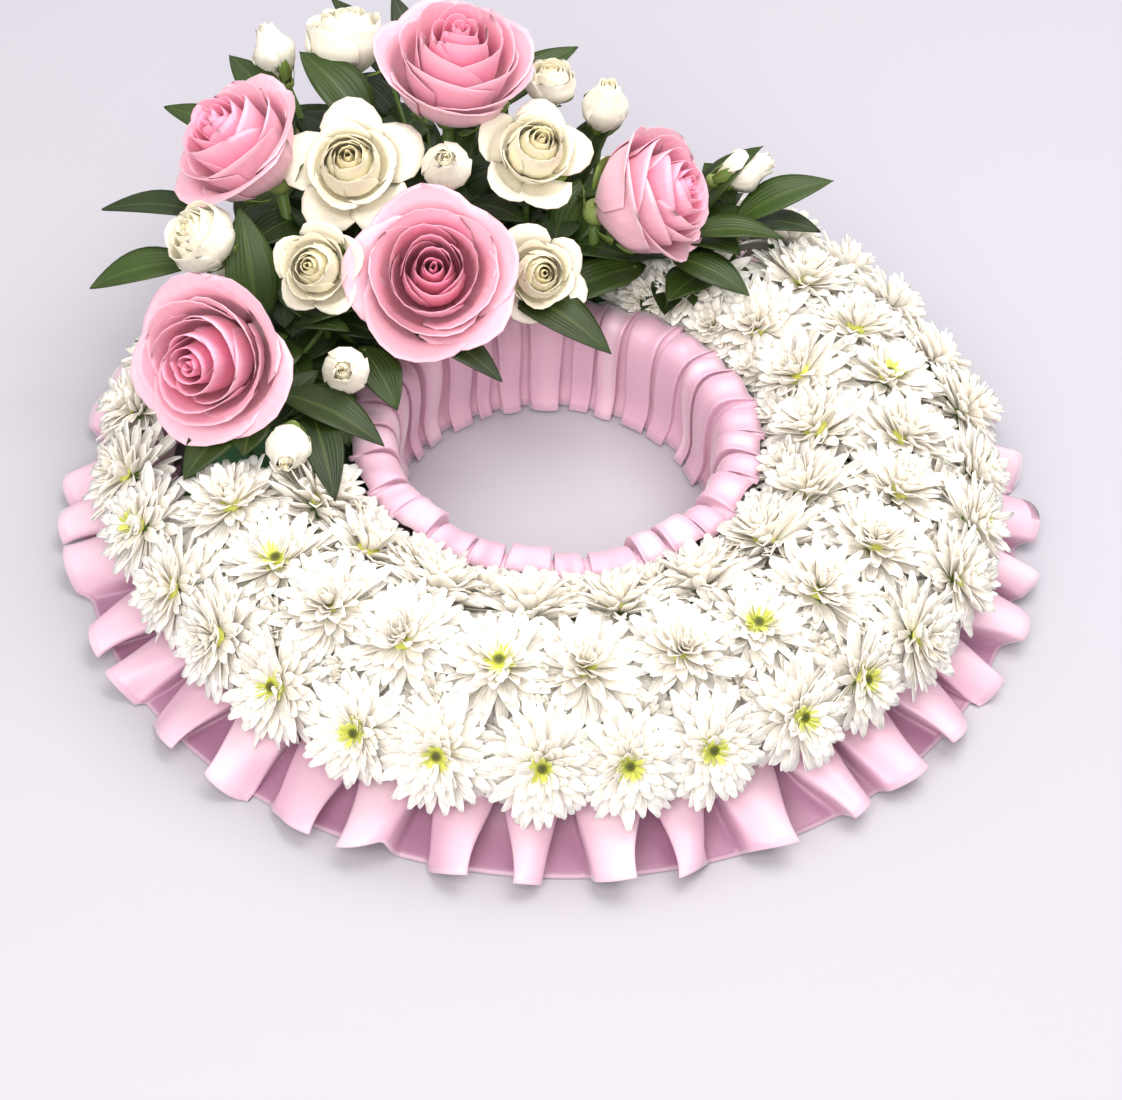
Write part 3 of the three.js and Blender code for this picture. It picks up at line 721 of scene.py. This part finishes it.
def roses():
    looks = ((0.25, 3), (0.5, 5), (0.5, 8), (0.55, 12), (0.1, 21))  # openness, seed
    for number, (spec, (openness, seed)) in enumerate(zip(ROSES, looks), 1):
        flower(f"rose_{number}", spec, 50 / 62, ROSE_WHORLS, openness, seed,
               (0.5 * spec[2], 0.75), 2.5, PINK_PETAL, (10, 11))


def spray_roses():
    openness = (1.0, 0.3, 0.6, 0.1, 0.7, 0.1, 0.1)
    for number, (spec, opened) in enumerate(zip(SPRAY_ROSES, openness), 1):
        whorls = SPRAY_ROSE_WHORLS if opened > 0.2 else HALF_OPEN_WHORLS
        flower(f"spray_rose_{number}", spec, 0.8, whorls, opened, 30 + number,
               (0.6 * spec[2], 0.8), 1.6, CREAM_PETAL, (7, 8))
    for number, spec in enumerate(ROSE_BUDS, 1):
        flower(f"rose_bud_{number}", spec, 1.35, BUD_WHORLS, 0.0, 60 + number,
               (spec[2], 0.3), 1.6, CREAM_PETAL, (6, 8))


# ---- ruscus ----
def leaf_spine(base, tip, share):
    """A point on the arched midrib, with the ways across the leaf and up from it."""
    along = tip - base
    across = UP.cross(along).normalized()
    lift = along.cross(across).normalized()
    middle = base + along * share + lift * 0.09 * along.length * math.sin(math.pi * share)
    return middle, across, lift


def leaf(shape, base, tip, width, rng):
    """A pointed blade that arches between base and tip, folded a little along its midrib."""
    fold = rng.uniform(0.1, 0.3)
    twist = rng.uniform(-0.25, 0.25)
    wave = rng.uniform(0, TURN)

    def form(side, along):
        middle, across, lift = leaf_spine(base, tip, along)
        half = width / 2 * math.sin(math.pi * along ** 0.85) ** 0.9
        turn = twist * along
        out = across * math.cos(turn) + lift * math.sin(turn)
        raised = fold * half * abs(side) + 0.35 * math.sin(4 * along + wave) * side
        return (middle + out * side * half + lift * raised) * MM

    blade(shape, 6, 12, form, Matrix.Identity(4), 0.5, rng.uniform(-0.2, 0.5))


def ruscus_sprig(number, foot, leaves, fill=2):
    """The sprig's long leaves, and `fill` shorter ones low down along its stem."""
    rng = random.Random(100 + number)
    shape = new_shape()
    fork = Vector((*foot, FOAM_TOP + 2))
    for base, tip, width in (*leaves, *SCREENING_LEAVES.get(number, ())):
        leaf(shape, Vector(base), Vector(tip), width, rng)
        stalk(shape, fork, leaf_spine(Vector(base), Vector(tip), 0.1)[0], 1.1, slot=1)
    for k in range(fill):
        way = polar(1, GOLDEN * k + number, 0)
        low = k % 2 == 0 and fill > 2
        base = fork + way * rng.uniform(2, 9)
        base += UP * (rng.uniform(2, 9) if low else rng.uniform(8, 40))
        tip = base + way * rng.uniform(22, 34) + UP * rng.uniform(0, 6 if low else 16)
        if RING_INNER < math.hypot(tip.x, tip.y) < LEAF_REACH:
            leaf(shape, base, tip, rng.uniform(15, 20), rng)
    stalk(shape, fork, Vector((*foot, FOAM_TOP - STEM_IN_FOAM)), 1.3, slot=1)
    name = f"ruscus_{number}"
    finished(shape, f"{name}_leaves", (RUSCUS_LEAF, STEM), name)


def ruscus():
    """The listed sprigs, then short ones in the undergrowth that reach inwards, out and up."""
    for number, (foot, leaves) in enumerate(RUSCUS, 1):
        ruscus_sprig(number, foot, leaves)
    spread = math.radians(9)
    for number, degrees in enumerate(UNDERGROWTH, len(RUSCUS) + 1):
        angle = math.radians(degrees)
        foot = polar(118, angle)
        ruscus_sprig(number, (foot.x, foot.y), (
            (polar(110, angle - spread, 58), polar(80, angle - spread, 62), 20),
            (polar(126, angle + spread, 58), polar(172, angle + 1.4 * spread, 74), 22),
            (polar(130, angle, 62), polar(148, angle - spread, 104), 22),
        ), fill=20)


# ---- ribbon ----
def pleat_line(t, left, right):
    """The satin's path across one box pleat, t from 0 to 1 between the middles of two hollows:
    its place, in pleats from the crest's middle, and its rise out of the hollow, 0 to 1. `left`
    and `right` are the widths of the gaps beside the crest; the hollows run on under it."""
    if t > 0.5:
        place, rise = pleat_line(1 - t, right, left)
        return -place, rise

    def corner(t):
        if t < 0:
            return -1 - corner(-t)
        edge, root = -0.5 + left / 2, -0.5 + left / 2 + 0.1
        if t < 0.16:
            return mix(-0.5, root, t / 0.16)
        if t < 0.3:
            return mix(root, edge, (t - 0.16) / 0.14)
        return mix(edge, 0, (t - 0.3) / 0.2)

    place = (corner(t - 0.025) + corner(t) + corner(min(0.5, t + 0.025))) / 3
    return (0.0 if t == 0.5 else place), smooth(0.13, 0.32, t)


# How a frill hangs. Lengths are in millimetres, and widths along the frill in pleats:
#   closed   the share of the drop over which the pleats stay pressed shut
#   uneven   how much the gaps between the crests differ
#   lift, sag   how far the crests bow up and the hollows bow down, half way down
#   bulge, tongue   how far a crest's middle stands up and reaches out past its sides at the hem
#   tilt, stray, sway   how far a crest's hem slants, hangs high or low, and leans to one side
#   shy      how much less than the whole way some crests rise
#   pucker, edge   the waves down a crest, and along its top edge
#   roll     how far the top rolls over the ring's shoulder
#   drift    how far neighbouring folds move sideways together
#   pale     the least lightness of the satin's painted shade, so that 0 lets the hollows go dark

SATIN_THICKNESS = 0.4
POINTS_PER_PLEAT, ROWS_DOWN = 28, 13
CLOSED_GAP = 0.06  # between crests that are pressed shut, in pleats
LOWEST = 0.9  # the satin's least height above the surface
THREAD = 0.6  # the drawn spacing of the threads


def pleated_ribbon(name, hollow, crest, pleats, gaps, seed, hang):
    """Satin gathered into box pleats that open towards the hem. `gaps` are the widths between
    crests at the hem, `hang` says how the frill hangs, and no two folds are quite alike."""
    rng = random.Random(seed)
    folds = [[rng.uniform(-1, 1) for _ in range(5)] for _ in range(pleats)]
    openings = [gaps[k % len(gaps)] + rng.uniform(-1, 1) * hang["uneven"] for k in range(pleats)]
    pitch = TURN / pleats
    shape = new_shape()
    made = bmesh.ops.create_grid(shape, x_segments=POINTS_PER_PLEAT * pleats,
                                 y_segments=ROWS_DOWN, size=1.0)
    along_key, across_key, painted_shade_key = [shape.verts.layers.float[key] for key in LAYERS[:3]]
    for vert in made["verts"]:
        place = (vert.co.x + 1) / 2 * pleats
        down = (1 - vert.co.y) / 2
        k = int(place + 0.5) % pleats
        lean, shy, high, twist, curl = folds[k]
        t = round(place + 0.5 - int(place + 0.5), 5)
        spread = smooth(hang["closed"], 1.0, down)
        left = mix(CLOSED_GAP, openings[k], spread)
        right = mix(CLOSED_GAP, openings[(k + 1) % pleats], spread)
        across, rise = pleat_line(t, left, right)
        proud = rise * (1 - hang["shy"] * (shy + 1) / 2)
        low_r, low_z = (mix(a, b, down) for a, b in zip(*hollow))
        high_r, high_z = (mix(a, b, down) for a, b in zip(*crest))
        bow = math.sin(math.pi * down)
        loose = down ** 1.6
        reach = min(1.0, abs(across) / 0.36)
        middle = 1 - reach * reach
        roll = hang["roll"] * math.sin(math.pi * min(1.0, down / 0.8))
        low_z += roll - hang["sag"] * bow
        low_r -= 0.55 * roll
        high_r -= 0.7 * roll
        high_z += 1.3 * roll + hang["lift"] * bow + hang["stray"] * high * loose
        high_z += loose * (hang["bulge"] * (0.6 + 0.4 * curl) * (middle - 0.4)
                           + hang["tilt"] * twist * across * 2)
        high_r += loose * (hang["tongue"] * (middle - 0.7) + 0.03 * shy * (high_r - 150))
        high_r += hang["pucker"] * high * math.sin(TURN * (down + 0.3 * twist)) * middle
        radius = mix(low_r, high_r, proud)
        scallop = hang["edge"] * (1 - down) ** 3 * (high + 0.5 * math.sin(9 * across))
        z = max(LOWEST, mix(low_z, high_z, proud)) + scallop
        ahead = place + 0.5 - int(place + 0.5)
        drift = mix(folds[k - 1][2], high, smooth(0, 1, ahead)) * hang["drift"]
        side = (place - (t - 0.5) + across + hang["sway"] * lean * rise * loose + drift) * pitch
        vert[along_key] = down
        vert[across_key] = place * pitch * radius / THREAD * TURN
        # Painted shade: the satin is lighter the further the point stands out of the hollow and
        # the nearer it is to a crest's middle.
        vert[painted_shade_key] = max(hang["pale"], 0.9 * proud * (0.55 + 0.45 * middle))
        vert.co = polar(radius, side, z) * MM
    for face in shape.faces:
        face.smooth = True
    # Meant to join the sheet's two ends at +X. The finished satin still has doubled edges there.
    bmesh.ops.remove_doubles(shape, verts=shape.verts, dist=0.00001)
    bmesh.ops.recalc_face_normals(shape, faces=shape.faces)
    # The shell's second skin is moved out along its own normals, which keeps tight folds smooth.
    sheet_points = len(shape.verts)
    bmesh.ops.solidify(shape, geom=list(shape.faces), thickness=0.0)
    shape.normal_update()
    shape.verts.ensure_lookup_table()
    for vert in shape.verts[sheet_points:]:
        vert.co += vert.normal * SATIN_THICKNESS * MM
    return finished(shape, f"{name}_satin", (SATIN,), name)


def ribbons():
    """Two lengths of satin: 50 mm wide round the outside, 60 mm wide inside. Their lengths are the
    pleated sheets' own areas over those widths."""
    outer = pleated_ribbon("outer_ribbon", OUTER_HOLLOW, OUTER_CREST, OUTER_PLEATS, (0.7, 0.26), 5,
                           dict(closed=0.2, lift=4, sag=4, bulge=10, tilt=12, tongue=6, shy=0.3,
                                pucker=1.6, edge=0, drift=0.14, pale=0.0, roll=0, uneven=0.17,
                                stray=2.5, sway=0.24))
    inner = pleated_ribbon("inner_ribbon", INNER_HOLLOW, INNER_CREST, INNER_PLEATS, (0.5, 0.2), 9,
                           dict(closed=0, lift=0.6, sag=0, bulge=0, tilt=0, tongue=0, shy=0.7,
                                pucker=2, edge=1.5, drift=0.26, pale=0.5, roll=13, uneven=0.16,
                                stray=1, sway=0.15))


# ---- hidden base ----
def dress_base():
    """The foam and its backing keep their solids and get their real finish."""
    finishes = {"foam_ring": wet_foam_material(), "backing_ring": polystyrene_material()}
    for node, material in finishes.items():
        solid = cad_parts[node]
        solid.data.materials.clear()
        solid.data.materials.append(material)


# ---- room, light and camera ----
WREATH_MIDDLE = Vector((0, 0, 0.05))


def floor():
    """A plain pale surface, with the faintest drift from warm to lilac."""
    shape = bmesh.new()
    bmesh.ops.create_grid(shape, x_segments=1, y_segments=1, size=6.0)  # twelve metres across
    mesh = bpy.data.meshes.new("floor")
    shape.to_mesh(mesh)
    shape.free()
    material, tree, shader = new_material("pale_card_floor")
    place = add_node(tree, "ShaderNodeTexCoord")
    drift = add_node(tree, "ShaderNodeTexNoise", Vector=place.outputs["Object"],
                     Scale=1.6, Detail=1.0)
    base = add_node(tree, "ShaderNodeMix", {"data_type": "RGBA"}, Factor=drift.outputs["Fac"],
                    _6=linear("#b3b2be"), _7=linear("#bab4b8"))
    tree.links.new(base.outputs[2], shader.inputs["Base Color"])
    shader.inputs["Roughness"].default_value = 0.8
    mesh.materials.append(material)
    piece = bpy.data.objects.new("floor", mesh)
    bpy.context.scene.collection.objects.link(piece)


def area_light(name, place, power):
    """A soft round light with a warm tint, aimed at the middle of the wreath."""
    data = bpy.data.lights.new(name, "AREA")
    data.shape = "DISK"
    data.size = 1.3
    data.energy = power
    data.color = (1.0, 0.98, 0.955)
    lamp = bpy.data.objects.new(name, data)
    lamp.location = place
    lamp.rotation_mode = "QUATERNION"
    lamp.rotation_quaternion = (WREATH_MIDDLE - Vector(place)).to_track_quat("-Z", "Y")
    bpy.context.scene.collection.objects.link(lamp)


def lights():
    world = bpy.data.worlds.new("soft_room")
    world.use_nodes = True
    background = world.node_tree.nodes["Background"]
    background.inputs["Color"].default_value = (0.97, 0.975, 1.0, 1.0)
    background.inputs["Strength"].default_value = 0.72
    bpy.context.scene.world = world
    area_light("overhead", (0.4, 0.35, 1.4), 19)
    area_light("front", (-0.25, -1.15, 1.2), 22)


def camera():
    """A long lens that looks down at 45 degrees from the front, with a slight roll."""
    target = Vector((0.005, -0.023, 0.0))
    pitch, roll, distance = math.radians(45), math.radians(-3.5), 1.08
    back = Vector((0, -math.cos(pitch), math.sin(pitch)))
    level, upright = Vector((1, 0, 0)), Vector((0, math.sin(pitch), math.cos(pitch)))
    right = level * math.cos(roll) - upright * math.sin(roll)
    top = level * math.sin(roll) + upright * math.cos(roll)
    data = bpy.data.cameras.new("camera")
    data.sensor_width = 36
    data.lens = 83.42246
    eye = bpy.data.objects.new("camera", data)
    turn = Matrix((right, top, back)).transposed().to_4x4()
    eye.matrix_world = Matrix.Translation(target + back * distance) @ turn
    bpy.context.scene.collection.objects.link(eye)
    bpy.context.scene.camera = eye


bpy.context.scene.view_settings.view_transform = "Standard"
camera()
lights()
floor()
dress_base()
ribbons()
chrysanthemums()
roses()
spray_roses()
ruscus()
